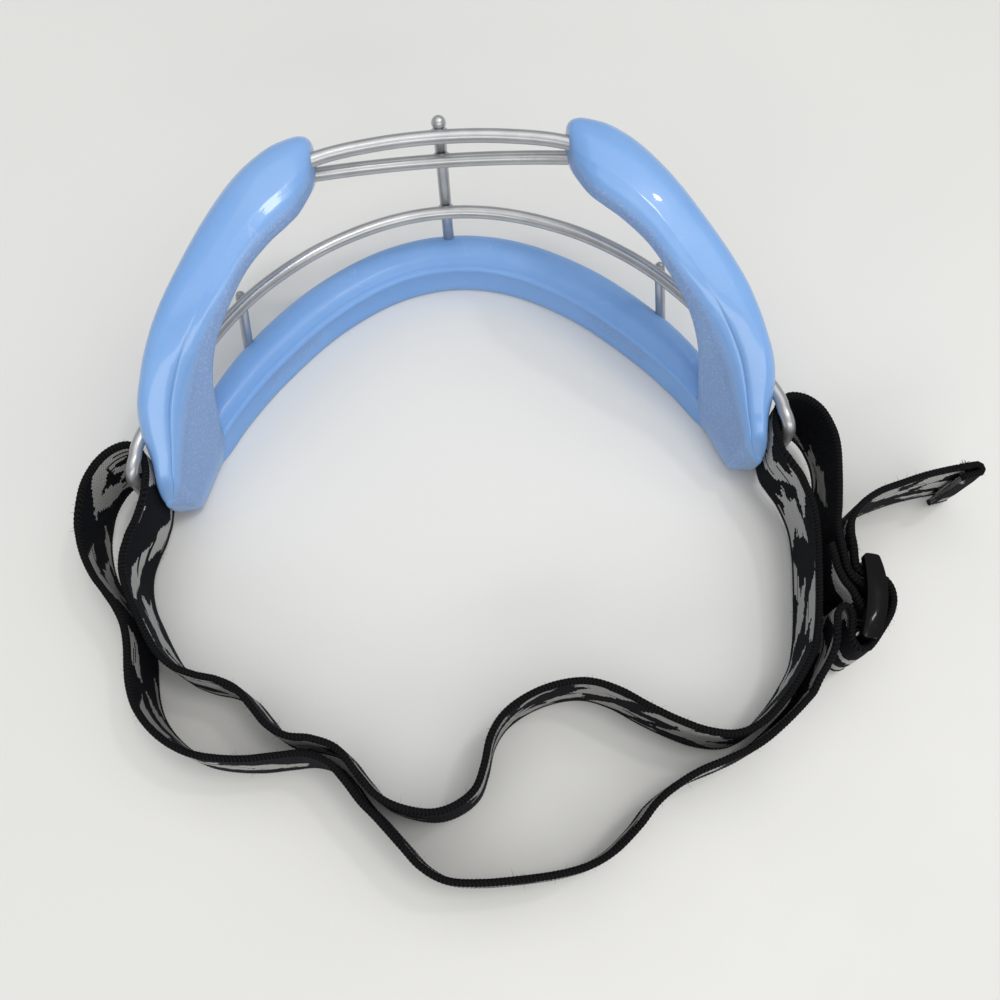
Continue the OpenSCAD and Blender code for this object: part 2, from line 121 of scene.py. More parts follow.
# Lofting: one ring of edges is drawn out again and again
def loft(bm, rings):
    verts = [bm.verts.new(p) for p in rings[0]]
    edges = [bm.edges.new(pair) for pair in zip(verts, verts[1:] + verts[:1])]
    rows = [verts]
    for ring in rings[1:]:
        drawn = bmesh.ops.extrude_edge_only(bm, edges=edges)["geom"]
        fresh = {g for g in drawn if isinstance(g, bmesh.types.BMVert)}
        verts = [next(e.other_vert(v) for e in v.link_edges if e.other_vert(v) in fresh) for v in verts]
        for v, p in zip(verts, ring):
            v.co = p
        edges = [bm.edges.get(pair) for pair in zip(verts, verts[1:] + verts[:1])]
        rows.append(verts)
    return rows


def capRows(bm, rows):
    for row in (rows[0], rows[-1]):
        bmesh.ops.contextual_create(bm, geom=[bm.edges.get(pair) for pair in zip(row, row[1:] + row[:1])])


def domed(rings, depth, steps):
    # rounds both ends of a row of rings off, up to a small last ring
    def end(ring, inner):
        centre = sum(ring, Vector()) / len(ring)
        out = (centre - sum(inner, Vector()) / len(inner)).normalized()
        made = []
        for k in range(1, steps + 1):
            a = math.radians(86 * k / steps)
            made.append([centre + (p - centre) * math.cos(a) + out * depth * math.sin(a) for p in ring])
        return made
    return end(rings[0], rings[1])[::-1] + rings + end(rings[-1], rings[-2])


def finishMesh(bm, name, smooth=True, merge=0.0):
    if merge:
        bmesh.ops.remove_doubles(bm, verts=bm.verts, dist=merge)
    bmesh.ops.recalc_face_normals(bm, faces=bm.faces)
    for face in bm.faces:
        face.smooth = smooth
    mesh = bpy.data.meshes.new(name)
    bm.to_mesh(mesh)
    bm.free()
    piece = bpy.data.objects.new(name, mesh)
    bpy.context.scene.collection.objects.link(piece)
    return piece


def dress(piece, material, body, slot, *nodes):
    piece.data.materials.clear()
    piece.data.materials.append(material)
    if body:
        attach(piece, body)
    if nodes:
        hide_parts(*nodes)
    return piece


# Shader helpers
def addNode(tree, kind, settings=None, inputs=None):
    made = tree.nodes.new(kind)
    for name, value in (settings or {}).items():
        setattr(made, name, value)
    for name, value in (inputs or {}).items():
        if isinstance(value, bpy.types.NodeSocket):
            tree.links.new(value, made.inputs[name])
        else:
            made.inputs[name].default_value = value
    return made


def calc(tree, operation, a, b=0.0):
    return addNode(tree, "ShaderNodeMath", {"operation": operation}, {0: a, 1: b}).outputs[0]


def ramped(tree, value, low, high, start=0.0, end=1.0):
    return addNode(tree, "ShaderNodeMapRange", {"interpolation_type": "SMOOTHSTEP"},
                   {"Value": value, "From Min": low, "From Max": high, "To Min": start, "To Max": end}).outputs[0]


def mixed(tree, factor, first, second):
    return addNode(tree, "ShaderNodeMix", {"data_type": "RGBA"}, {0: factor, 6: first, 7: second}).outputs[2]


def scaled(tree, vector, x, y, z):
    return addNode(tree, "ShaderNodeMapping", None, {"Vector": vector, "Scale": (x, y, z)}).outputs[0]


def speckle(tree, vector, scale, detail=2.0, rough=0.5):
    return addNode(tree, "ShaderNodeTexNoise", None,
                   {"Vector": vector, "Scale": scale, "Detail": detail, "Roughness": rough}).outputs["Fac"]


def newGroup(name, inputs, outputs):
    group = bpy.data.node_groups.new(name, "ShaderNodeTree")
    for label, kind, value in inputs:
        socket = group.interface.new_socket(label, in_out="INPUT", socket_type=kind)
        if value is not None:
            socket.default_value = value
    for label, kind in outputs:
        group.interface.new_socket(label, in_out="OUTPUT", socket_type=kind)
    return group, group.nodes.new("NodeGroupInput"), group.nodes.new("NodeGroupOutput")


def useGroup(tree, group, **inputs):
    return addNode(tree, "ShaderNodeGroup", {"node_tree": group}, inputs)


def roughened(tree, shader, base, amount, grain):
    rough = calc(tree, "ADD", base, calc(tree, "MULTIPLY", grain.outputs["Shade"], amount))
    tree.links.new(rough, shader.inputs["Roughness"])


def bumped(tree, shader, height, strength, distance):
    bump = addNode(tree, "ShaderNodeBump", None, {"Height": height, "Strength": strength, "Distance": distance})
    tree.links.new(bump.outputs[0], shader.inputs["Normal"])


def makeGrain():
    # a fine height and a broad shade
    group, start, end = newGroup(
        "fineGrain", [("Vector", "NodeSocketVector", None), ("Scale", "NodeSocketFloat", 1000.0)],
        [("Height", "NodeSocketFloat"), ("Shade", "NodeSocketFloat")])
    place, scale = start.outputs[0], start.outputs[1]
    coarse = speckle(group, place, calc(group, "MULTIPLY", scale, 0.04), 2.0)
    group.links.new(speckle(group, place, scale, 3.0), end.inputs[0])
    group.links.new(ramped(group, coarse, 0.3, 0.7), end.inputs[1])
    return group


def makeScuffs():
    # thin curved scratches: the narrow band where a noise passes its middle value, in a few places
    group, start, end = newGroup(
        "scuffs", [("Vector", "NodeSocketVector", None), ("Scale", "NodeSocketFloat", 60.0),
                   ("Width", "NodeSocketFloat", 0.01)], [("Mask", "NodeSocketFloat")])
    place, scale = start.outputs[0], start.outputs[1]
    away = calc(group, "ABSOLUTE", calc(group, "SUBTRACT", speckle(group, place, scale, 1.0), 0.5))
    line = calc(group, "LESS_THAN", away, start.outputs[2])
    few = speckle(group, place, calc(group, "MULTIPLY", scale, 1.7), 0.0)
    group.links.new(calc(group, "MULTIPLY", line, ramped(group, few, 0.62, 0.68)), end.inputs[0])
    return group


def makeWeave():
    # crosswise ribs with the yarn rows between them, in metres along and across the strap
    group, start, end = newGroup(
        "webbingWeave", [("Along", "NodeSocketFloat", 0.0), ("Across", "NodeSocketFloat", 0.0),
                         ("Rib", "NodeSocketFloat", 0.0009), ("Yarn", "NodeSocketFloat", 0.0006)],
        [("Height", "NodeSocketFloat"), ("Shade", "NodeSocketFloat")])
    along, across, rib, yarn = (start.outputs[k] for k in range(4))

    def wave(value, pitch):
        return calc(group, "SINE", calc(group, "MULTIPLY", calc(group, "DIVIDE", value, pitch), 2 * math.pi))

    row = calc(group, "FLOOR", calc(group, "DIVIDE", across, yarn))
    half = calc(group, "MULTIPLY", rib, 0.5)
    shifted = calc(group, "ADD", along, calc(group, "MULTIPLY", calc(group, "MODULO", row, 2.0), half))
    knit = calc(group, "MULTIPLY", wave(shifted, rib), 0.5)
    stitch = calc(group, "ABSOLUTE", wave(across, calc(group, "MULTIPLY", yarn, 2.0)))
    height = calc(group, "MULTIPLY", calc(group, "ADD", knit, 0.6), stitch)
    group.links.new(height, end.inputs[0])
    # the Shade output repeats the height: where it colours the strap it is painted light on the raised yarn and painted
    # shade in the hollows
    group.links.new(ramped(group, height, 0.0, 0.9), end.inputs[1])
    return group


grainGroup, scuffGroup, weaveGroup = makeGrain(), makeScuffs(), makeWeave()


def objectPlace(tree):
    return addNode(tree, "ShaderNodeTexCoord").outputs["Object"]


def scratched(tree, place, colour, look):
    scale, width = look["scuffs"]
    scuff = useGroup(tree, scuffGroup, Vector=place, Scale=scale, Width=width)
    return mixed(tree, calc(tree, "MULTIPLY", scuff.outputs["Mask"], look["scratchShare"]), colour, look["scratch"])


def newMaterial(name, constants):
    material = bpy.data.materials.new(name)
    material.use_nodes = True
    shader = material.node_tree.nodes["Principled BSDF"]
    for socket, value in constants.items():
        shader.inputs[socket].default_value = value
    return material, material.node_tree, shader


siliconeLook = {
    "outer": (0.2, 0.4, 0.775, 1), "outerWarm": (0.225, 0.425, 0.79, 1), "skin": (0.24, 0.385, 0.68, 1),
    # the line colour is painted shade along the parting groove
    "speck": (0.38, 0.51, 0.79, 1), "speckShare": 0.6, "line": (0.13, 0.27, 0.55, 1), "grooveShadeShare": 0.55,
    "scratch": (0.5, 0.68, 0.92, 1), "scratchShare": 0.12, "scuffs": (90.0, 0.006), "cloudScale": 45,
    "grainScale": 1500.0, "satin": 0.46, "polish": 0.3, "skinRough": 0.22, "coat": 0.55, "dimpleScale": 1700,
}


def makeSilicone(look):
    material, tree, shader = newMaterial("siliconeBlue", {
        "Subsurface Weight": 0.12, "Subsurface Radius": (0.3, 0.6, 1.0), "Subsurface Scale": 0.003,
        "Coat Roughness": 0.06, "Specular IOR Level": 0.45})
    place = objectPlace(tree)
    skin, line, gloss = (addNode(tree, "ShaderNodeAttribute", {"attribute_name": name}).outputs["Fac"]
                         for name in padMarks)
    grain = useGroup(tree, grainGroup, Vector=place, Scale=look["grainScale"])
    cloudy = ramped(tree, speckle(tree, place, look["cloudScale"], 3), 0.35, 0.65)
    speck = ramped(tree, speckle(tree, place, look["grainScale"], 1), 0.5, 0.68)
    matte = mixed(tree, calc(tree, "MULTIPLY", speck, look["speckShare"]), look["skin"], look["speck"])
    colour = mixed(tree, skin, mixed(tree, cloudy, look["outer"], look["outerWarm"]), matte)
    # painted shade: the parting line along the temples is coloured darker, as its groove is shaded
    colour = mixed(tree, calc(tree, "MULTIPLY", line, look["grooveShadeShare"]), colour, look["line"])
    tree.links.new(scratched(tree, place, colour, look), shader.inputs["Base Color"])
    satin = addNode(tree, "ShaderNodeMapRange", None,
                    {"Value": gloss, "To Min": look["satin"], "To Max": look["polish"]}).outputs[0]
    roughened(tree, shader, calc(tree, "ADD", satin, calc(tree, "MULTIPLY", skin, look["skinRough"])), 0.05, grain)
    outside = calc(tree, "SUBTRACT", 1.0, skin)
    coat = calc(tree, "MULTIPLY", calc(tree, "MULTIPLY", gloss, look["coat"]), outside)
    tree.links.new(coat, shader.inputs["Coat Weight"])
    dimples = speckle(tree, place, look["dimpleScale"], 2, 0.6)
    bumped(tree, shader, calc(tree, "MULTIPLY", dimples, calc(tree, "ADD", skin, 0.05)), 0.5, 0.0003)
    return material


steelLook = {"light": (0.52, 0.525, 0.535, 1), "dark": (0.43, 0.435, 0.445, 1), "scratch": (0.3, 0.29, 0.28, 1),
             "scratchShare": 0.12, "scuffs": (170.0, 0.008), "toneScale": 120, "grainScale": 2600.0, "rough": 0.28}


def makeSteel(look):
    material, tree, shader = newMaterial("satinSteel", {"Metallic": 0.75, "Coat Weight": 0.2, "Coat Roughness": 0.12})
    place = objectPlace(tree)
    grain = useGroup(tree, grainGroup, Vector=place, Scale=look["grainScale"])
    tone = ramped(tree, speckle(tree, place, look["toneScale"], 4), 0.3, 0.75)
    colour = mixed(tree, tone, look["dark"], look["light"])
    tree.links.new(scratched(tree, place, colour, look), shader.inputs["Base Color"])
    roughened(tree, shader, look["rough"], 0.06, grain)
    bumped(tree, shader, grain.outputs["Height"], 0.07, 0.0001)
    return material


# lengths along and across the strap are in metres, and the bead's slant is in radians per metre
webbingLook = {
    # the raised black and the low grey are painted light on the raised yarn and painted shade in its hollows
    "black": (0.0022, 0.0023, 0.0032, 1), "raisedLitBlack": (0.0065, 0.007, 0.0105, 1), "grey": (0.62, 0.615, 0.6, 1),
    # the bead colour is a painted highlight on the crest of each edge bead
    "greyShadedLow": (0.33, 0.325, 0.315, 1), "edge": (0.003, 0.003, 0.0035, 1), "bead": (0.034, 0.034, 0.036, 1),
    "rib": 0.0009, "yarn": 0.0006, "wobble": 0.003, "wobbleScale": 420.0, "motifHalf": 0.0104, "edgeFrom": 0.0108,
    "beadPitch": 0.00098, "beadSlant": 1730, "beadRow": 0.0113, "beadRowHalf": (0.0002, 0.0006), "beadHighlightFaint": 0.25,
    "blades": [(31, 0.036, 0.0115, 0.32, "MANHATTAN"), (-36, 0.042, 0.014, 0.27, "MANHATTAN")],
    "block": (12, 0.036, 0.018, 0.15, "CHEBYCHEV"),
}


def makeWebbing(look):
    material, tree, shader = newMaterial("strapWebbing", {
        "Roughness": 0.85, "Sheen Weight": 0.02, "Sheen Roughness": 0.4, "Sheen Tint": (0.7, 0.78, 1.0, 1),
        "Specular IOR Level": 0.08})
    uv = addNode(tree, "ShaderNodeUVMap", {"uv_map": "strapMap"}).outputs[0]
    parts = addNode(tree, "ShaderNodeSeparateXYZ", None, {0: uv})
    along, across = parts.outputs[0], parts.outputs[1]
    out = calc(tree, "ABSOLUTE", across)
    weave = useGroup(tree, weaveGroup, Along=along, Across=across, Rib=look["rib"], Yarn=look["yarn"])
    # the woven motif steps from yarn to yarn
    stepped = addNode(tree, "ShaderNodeCombineXYZ", None, {
        0: calc(tree, "SNAP", along, look["rib"]), 1: calc(tree, "SNAP", across, look["yarn"])}).outputs[0]
    ragged = addNode(tree, "ShaderNodeTexNoise", None,
                     {"Vector": stepped, "Scale": look["wobbleScale"], "Detail": 2.0}).outputs["Color"]
    centred = addNode(tree, "ShaderNodeVectorMath", {"operation": "SUBTRACT"},
                      {0: ragged, 1: (0.5, 0.5, 0.5)}).outputs[0]
    shift = addNode(tree, "ShaderNodeVectorMath", {"operation": "SCALE"},
                    {0: centred, "Scale": look["wobble"]}).outputs[0]
    wobbly = addNode(tree, "ShaderNodeVectorMath", {"operation": "ADD"}, {0: stepped, 1: shift}).outputs[0]

    def strokes(angle, long, wide, reach, metric):
        turned = addNode(tree, "ShaderNodeMapping", None,
                         {"Vector": wobbly, "Rotation": (0, 0, math.radians(angle))}).outputs[0]
        cells = addNode(tree, "ShaderNodeTexVoronoi", {"voronoi_dimensions": "2D", "distance": metric}, {
            "Vector": scaled(tree, turned, 1 / long, 1 / wide, 1), "Scale": 1.0, "Randomness": 0.8})
        return calc(tree, "LESS_THAN", cells.outputs["Distance"], reach)

    blades = calc(tree, "MAXIMUM", *(strokes(*blade) for blade in look["blades"]))
    split = ramped(tree, speckle(tree, scaled(tree, stepped, 45, 800, 1), 1.0, 0), 0.3, 0.31)
    motif = calc(tree, "MULTIPLY", calc(tree, "MAXIMUM", blades, strokes(*look["block"])), split)
    motif = calc(tree, "MULTIPLY", motif, calc(tree, "LESS_THAN", out, look["motifHalf"]))
    # painted light and shade: the raised yarn is coloured lighter and the hollows darker, in the black ground and in
    # the grey motif
    ground = mixed(tree, weave.outputs["Shade"], look["black"], look["raisedLitBlack"])
    pale = mixed(tree, weave.outputs["Shade"], look["greyShadedLow"], look["grey"])
    # the overlocked edge is a row of small thread beads, each with a painted highlight on its crest, strongest along
    # one row
    edge = calc(tree, "GREATER_THAN", out, look["edgeFrom"])
    turn = calc(tree, "MULTIPLY", calc(tree, "DIVIDE", along, look["beadPitch"]), 2 * math.pi)
    turn = calc(tree, "ADD", turn, calc(tree, "MULTIPLY", out, look["beadSlant"]))
    away = calc(tree, "ABSOLUTE", calc(tree, "SUBTRACT", out, look["beadRow"]))
    row = ramped(tree, away, *look["beadRowHalf"], 1.0, look["beadHighlightFaint"])
    bead = calc(tree, "MULTIPLY", ramped(tree, calc(tree, "COSINE", turn), -0.2, 0.9), row)
    colour = mixed(tree, edge, mixed(tree, motif, ground, pale), mixed(tree, bead, look["edge"], look["bead"]))
    tree.links.new(colour, shader.inputs["Base Color"])
    woven = calc(tree, "MULTIPLY", weave.outputs["Height"], calc(tree, "SUBTRACT", 1.0, edge))
    fluff = calc(tree, "MULTIPLY", speckle(tree, stepped, 3000, 1), 0.25)
    bumped(tree, shader, calc(tree, "ADD", woven, fluff), 0.75, 0.0003)
    return material


threadLook = {"low": (0.003, 0.003, 0.0035, 1), "high": (0.014, 0.014, 0.016, 1), "twistScale": 2400}


def makeThread(look):
    material, tree, shader = newMaterial("strapThread", {
        "Roughness": 0.8, "Sheen Weight": 0.04, "Specular IOR Level": 0.15})
    place = objectPlace(tree)
    twist = speckle(tree, place, look["twistScale"], 2)
    # painted light and shade: the twist's crests are coloured lighter than its hollows, by the same noise as the bump
    tree.links.new(mixed(tree, ramped(tree, twist, 0.35, 0.65), look["low"], look["high"]), shader.inputs["Base Color"])
    bumped(tree, shader, twist, 0.5, 0.0001)
    return material


plasticLook = {"black": (0.0025, 0.0025, 0.003, 1), "scratch": (0.012, 0.012, 0.013, 1), "scratchShare": 0.3,
               "scuffs": (260.0, 0.012), "grainScale": 1800.0, "rough": 0.13}


def makePlastic(look):
    material, tree, shader = newMaterial("slidePlastic", {
        "Coat Weight": 0.1, "Coat Roughness": 0.04, "Specular IOR Level": 0.03})
    place = objectPlace(tree)
    grain = useGroup(tree, grainGroup, Vector=place, Scale=look["grainScale"])
    tree.links.new(scratched(tree, place, look["black"], look), shader.inputs["Base Color"])
    roughened(tree, shader, look["rough"], 0.08, grain)
    bumped(tree, shader, grain.outputs["Height"], 0.12, 0.0001)
    return material


padMarks = ("skinSide", "partingLine", "glossy")
silicone = makeSilicone(siliconeLook)
steel = makeSteel(steelLook)
webbing = makeWebbing(webbingLook)
thread = makeThread(threadLook)
plastic = makePlastic(plasticLook)
print("materials made")


# Padding: one silicone moulding of brow, temples and cheeks. An outline is a row of (across, up) shares from the
# skin side to the outer side. A brow station is (x, behind, front, high), and the brow's ends have a y after the x.
# A cheek station is (outer x, outer y, skin x, skin y, low, high, share of the temple's outline).
padding = {
    "browOutline": [
        (0.05, 0.02), (0.3, 0), (0.55, 0), (0.78, 0.03), (0.93, 0.14), (1, 0.32), (0.99, 0.52), (0.93, 0.71),
        (0.82, 0.865), (0.66, 0.965), (0.5, 1), (0.35, 0.99), (0.21, 0.94), (0.125, 0.865), (0.085, 0.81),
        (0.045, 0.8), (0.008, 0.77), (0.004, 0.715), (0.04, 0.67), (0.055, 0.61), (0.045, 0.42), (0.012, 0.2),
        (0.015, 0.08)],
    "cheekOutline": [
        (0.06, 0.42), (0.3, 0.16), (0.6, 0.01), (0.82, 0.04), (0.95, 0.2), (1, 0.42), (0.985, 0.62), (0.93, 0.8),
        (0.82, 0.93), (0.66, 1), (0.46, 0.995), (0.26, 0.95), (0.205, 0.925), (0.165, 0.9), (0.1, 0.86),
        (0.05, 0.8), (0.015, 0.74), (0, 0.69), (0, 0.64), (0, 0.59), (0.005, 0.54), (0.015, 0.5), (0.03, 0.46)],
    "templeOutline": [
        (0.17, 0.01), (0.56, 0), (0.82, 0.01), (0.95, 0.07), (0.99, 0.22), (1, 0.46), (0.99, 0.7), (0.94, 0.86),
        (0.85, 0.95), (0.7, 1), (0.55, 0.995), (0.4, 0.972), (0.345, 0.942), (0.315, 0.948), (0.25, 0.925),
        (0.2, 0.885), (0.165, 0.825), (0.15, 0.76), (0.1, 0.65), (0.06, 0.52), (0.035, 0.4), (0.02, 0.29),
        (0.06, 0.11)],
    "outlineSteps": 4, "partingPoint": 12, "skinFrom": (2.2, 4.6), "skinFade": (2, 12),
    "browStations": [(0, 6.5, 8, 15), (20, 6.5, 8, 15), (40, 6.5, 8, 15), (57, 6.5, 7.7, 15), (68.5, 6.5, 6.4, 14.5)],
    "browEnds": [(75, -55, 6, 5.2, 13.5), (77.5, -61, 4.6, 4.2, 11.5)],
    "browRadius": 53, "browSteps": 9,
    "recess": {"middle": 53, "half": 8.5, "height": 6.6, "halfHeight": 3.5, "depth": 0.55, "skinShare": 0.6},
    "dimple": {"x": 46.5, "half": 1.4, "height": 8.5, "halfHeight": 1.2, "depth": 0.5},
    "cheekStations": [
        (33.6, 0.2, 33.9, -5.5, -11.5, -5, 0), (34.2, 2.6, 34.5, -10.5, -14.2, -2.4, 0),
        (36.2, 4, 36.2, -15, -15.6, -0.9, 0), (40, 3.4, 38.5, -19.2, -16.4, -0.1, 0),
        (46.5, 0.2, 41.4, -22.4, -16.7, 0, 0), (54.5, -7, 46.3, -26.9, -17.5, -0.9, 0),
        (62.6, -17.4, 52.3, -33.1, -19.5, -3.4, 0.04), (70.6, -29.2, 57.6, -40.3, -23.5, -7.6, 0.12),
        (77.8, -40.4, 62.6, -46.8, -30.5, -12.6, 0.3), (82.3, -48.8, 66, -52, -42, -17.4, 0.55),
        (85, -54.4, 68.2, -56, -59.5, -21.3, 0.8), (86.7, -60, 70, -60.2, -68.2, -25.6, 1),
        (86.6, -65.5, 72.2, -65, -68.5, -30.6, 1), (85, -71, 74.4, -70, -68.2, -35.8, 1),
        (84.4, -75.2, 75.8, -74, -66.9, -39.2, 1), (84.3, -77.5, 76.3, -76.2, -64.5, -41.6, 1),
        (83.9, -79, 77.7, -77.7, -59.6, -45.2, 1), (83.2, -80, 79.9, -79, -54, -49.3, 1)],
    "cheekTop": 68.5, "cheekSteps": 8, "swell": 0.22, "lift": 0.3,
    "browForm": {"steps": 5, "depth": 1.0, "gloss": 0.15}, "cheekForm": {"steps": 5, "depth": 0.9, "gloss": 1.0},
    "merge": 0.02, "seam": {"apart": 0.04, "rings": 5, "rounds": 12, "above": 0.6},
}


def browRings(pad):
    half = [(x, -x * x / (2 * pad["browRadius"]), *sizes) for x, *sizes in pad["browStations"]] + pad["browEnds"]
    path = smoothRow(flipX(half[:0:-1]) + half, pad["browSteps"])
    outline = smoothRow(pad["browOutline"], pad["outlineSteps"], True)
    hollow, dimple = pad["recess"], pad["dimple"]
    rings, masks = [], []
    for i, (x, y, behind, front, high) in enumerate(path):
        a, b = path[max(i - 1, 0)], path[min(i + 1, len(path) - 1)]
        heading = Vector((b[0] - a[0], b[1] - a[1])).normalized()
        out = Vector((-heading.y, heading.x))
        ring, mask = [], []
        for across, up in outline:
            z = high * up
            u = -behind + (behind + front) * across
            panel = 0
            if across < 0.2:
                wide = abs(abs(x) - hollow["middle"]) / hollow["half"]
                tall = abs(z - hollow["height"]) / hollow["halfHeight"]
                panel = smoothStep(1.25 - (wide ** 4 + tall ** 4), 0, 0.5)
                wide, tall = (x - dimple["x"]) / dimple["half"], (z - dimple["height"]) / dimple["halfHeight"]
                u += hollow["depth"] * panel + dimple["depth"] * smoothStep(1.3 - (wide ** 2 + tall ** 2), 0, 1)
            ring.append(Vector((x + u * out.x, y + u * out.y, z)) * mm)
            mask.append((panel * hollow["skinShare"], 0.0))
        rings.append(ring)
        masks.append(mask)
    return rings, masks


def cheekRings(pad, side):
    top, steps = pad["cheekTop"], pad["outlineSteps"]
    cheek, temple = (smoothRow(pad[name], steps, True) for name in ("cheekOutline", "templeOutline"))
    line = pad["partingPoint"] * steps
    skinFrom, skinFull = (line + share * steps for share in pad["skinFrom"])
    rings, masks = [], []
    for xo, yo, xs, ys, low, high, share in smoothRow(pad["cheekStations"], pad["cheekSteps"]):
        ring, mask = [], []
        for k, ((a, b), (c, d)) in enumerate(zip(cheek, temple)):
            across, up = a + (c - a) * share, b + (d - b) * share
            z = max(pad["lift"], top + low + (high - low) * up)
            p = Vector((xs + (xo - xs) * across, ys + (yo - ys) * across, z))
            swell = pad["swell"] * noise.noise(p * 0.07 + Vector((side * 9, 0, 3)))
            p += Vector((0, 0, swell))
            ring.append(Vector((side * p.x, p.y, max(pad["lift"], p.z))) * mm)
            # the skin finish fades out towards the brow
            skin = smoothStep(k, skinFrom, skinFull) * (1 - share * (1 - smoothStep(p.z, *pad["skinFade"])))
            # the parting line's mask, for painted shade along the temple's groove
            mask.append((skin, smoothStep(share, 0.15, 0.7) if abs(k - line) <= 1 else 0.0))
        rings.append(ring)
        masks.append(mask)
    return rings, masks


def padForm(name, made, steps, depth, gloss):
    # every point of the loft gets its share of skin finish, of painted shade along the parting line, and of gloss
    rings, masks = made
    bm = bmesh.new()
    rows = loft(bm, domed(rings, depth * mm, steps))
    capRows(bm, rows)
    masks = masks[:1] * steps + masks + masks[-1:] * steps
    marks = [(v.co.copy(), (*shares, gloss)) for row, mask in zip(rows, masks) for v, shares in zip(row, mask)]
    return finishMesh(bm, name), marks


def joinForms(forms):
    first = forms[0]
    for other in forms[1:]:
        union = first.modifiers.new("union", "BOOLEAN")
        union.operation, union.solver, union.object = "UNION", "EXACT", other
    bpy.context.view_layer.update()
    mesh = bpy.data.meshes.new_from_object(first.evaluated_get(bpy.context.evaluated_depsgraph_get()))
    for form in forms:
        bpy.data.objects.remove(form)
    return mesh


def makePadding(pad):
    made = [padForm("browForm", browRings(pad), **pad["browForm"])]
    made += [padForm("cheekForm", cheekRings(pad, side), **pad["cheekForm"]) for side in (-1, 1)]
    marks = [mark for _, own in made for mark in own]
    tree = kdtree.KDTree(len(marks))
    for index, (point, _) in enumerate(marks):
        tree.insert(point, index)
    tree.balance()
    bm = bmesh.new()
    bm.from_mesh(joinForms([piece for piece, _ in made]))
    bmesh.ops.remove_doubles(bm, verts=bm.verts, dist=pad["merge"] * mm)
    # new points, where the forms were joined, mark the crease between brow and temple, which is softened
    seam = pad["seam"]
    near = {v for v in bm.verts if tree.find(v.co)[2] > seam["apart"] * mm}
    for _ in range(seam["rings"]):
        near |= {e.other_vert(v) for v in near for e in v.link_edges}
    near = [v for v in near if v.co.z > seam["above"] * mm]
    for _ in range(seam["rounds"]):
        bmesh.ops.smooth_vert(bm, verts=near, factor=0.5, use_axis_x=True, use_axis_y=True, use_axis_z=True)
    piece = finishMesh(bm, "padding")
    for index, name in enumerate(padMarks):
        layer = piece.data.attributes.new(name, "FLOAT", "POINT")
        layer.data.foreach_set("value", [marks[tree.find(v.co)[1]][1][index] for v in piece.data.vertices])
    dress(piece, silicone, "goggles", "silicone", "brow_pad", "cheek_pad_left", "cheek_pad_right")


makePadding(padding)
print("padding made")


# Wire cage
wires = {
    "radius": 1.9, "rimZ": 63, "rimLowZ": 7, "noseZ": 53.5, "noseRise": 3.2, "eyeZ": 30.8, "bendRadius": 136,
    "wireY": 0.95, "sides": 20,
    "centreBar": {"foot": (0, 4.6, 9.5), "top": (0, 4.6, 64.2), "radius": 1.7, "tip": 2.0},
    "sideBar": {"foot": (62.6, -27.9, 10.8), "top": (60.5, -22.3, 29.8), "radius": 1.5, "tip": 1.5},
    "centreWeld": {"x": 1.5, "ahead": 1.75, "size": (0.85, 0.75, 1.1)},
    "sideWeld": {"place": (60.4, -23.6, 30.4), "size": (1.3, 1.0, 1.0)}, "weldLump": 0.16,
}


def frontY(x):
    return wires["wireY"] - x * x / (2 * wires["bendRadius"])


def wirePaths(w):
    z, low, eye = w["rimZ"], w["rimLowZ"], w["eyeZ"]
    half = [(0, w["wireY"], z), (17, frontY(17), z), (33, frontY(33) - 0.4, z), (45, -9.5, z - 1), (55, -19.5, z - 3),
            (64, -33.5, z - 7.5), (72, -46.5, z - 14.8), (79.4, -57.5, z - 25), (82, -65.6, 31.2), (82.3, -69.6, 25),
            (81.8, -69.8, 17.5), (79.6, -66, 10.5), (75.8, -57.5, 7.5), (69.8, -45.5, low), (60.5, -32.3, low),
            (47, -18.9, low), (32, -7.9, low), (16, -0.9, low), (0, w["wireY"], low)]
    rim = smoothRow(half + flipX(half[-2:0:-1]), 10, True)
    nose = smoothRow([(x, frontY(x), w["noseZ"] + w["noseRise"] * (x / 35) ** 2) for x in range(-42, 43, 6)], 6)
    side = [(0, w["wireY"], eye), (14, -0.5, eye), (28, -4.8, eye), (42, -11.8, eye), (56, -22.4, eye),
            (67, -34.8, eye), (73.4, -45, eye - 0.4), (77.3, -54.5, eye - 1.2), (79, -60.5, eye - 1.8)]
    return rim, nose, smoothRow(flipX(side[:0:-1]) + side, 10)


def ringsAlong(path, radius, sides, closed=False):
    # round rings square to the path, each turned as little as possible from the one before
    points = [Vector(p) for p in path]
    count = len(points)
    turns = [2 * math.pi * k / sides for k in range(sides)]
    rings, out = [], None
    for i, p in enumerate(points):
        a = points[(i - 1) % count] if closed else points[max(i - 1, 0)]
        b = points[(i + 1) % count] if closed else points[min(i + 1, count - 1)]
        t = (b - a).normalized()
        out = out if out else (Vector((0, 0, 1)) if abs(t.z) < 0.9 else Vector((1, 0, 0))).cross(t)
        out = (out - t * out.dot(t)).normalized()
        over = t.cross(out)
        r = radius(i / (count - 1)) if callable(radius) else radius
        rings.append([(p + r * (math.cos(a) * out + math.sin(a) * over)) * mm for a in turns])
    return rings


def wirePiece(name, path, radius, closed=False):
    bm = bmesh.new()
    rings = ringsAlong(path, radius, wires["sides"], closed)
    if closed:
        rows = loft(bm, rings)
        ends = [bm.edges.get(pair) for row in (rows[0], rows[-1]) for pair in zip(row, row[1:] + row[:1])]
        bmesh.ops.bridge_loops(bm, edges=ends)
    else:
        rows = loft(bm, domed(rings, radius * 0.8 * mm, 4))
        capRows(bm, rows)
    return finishMesh(bm, name)


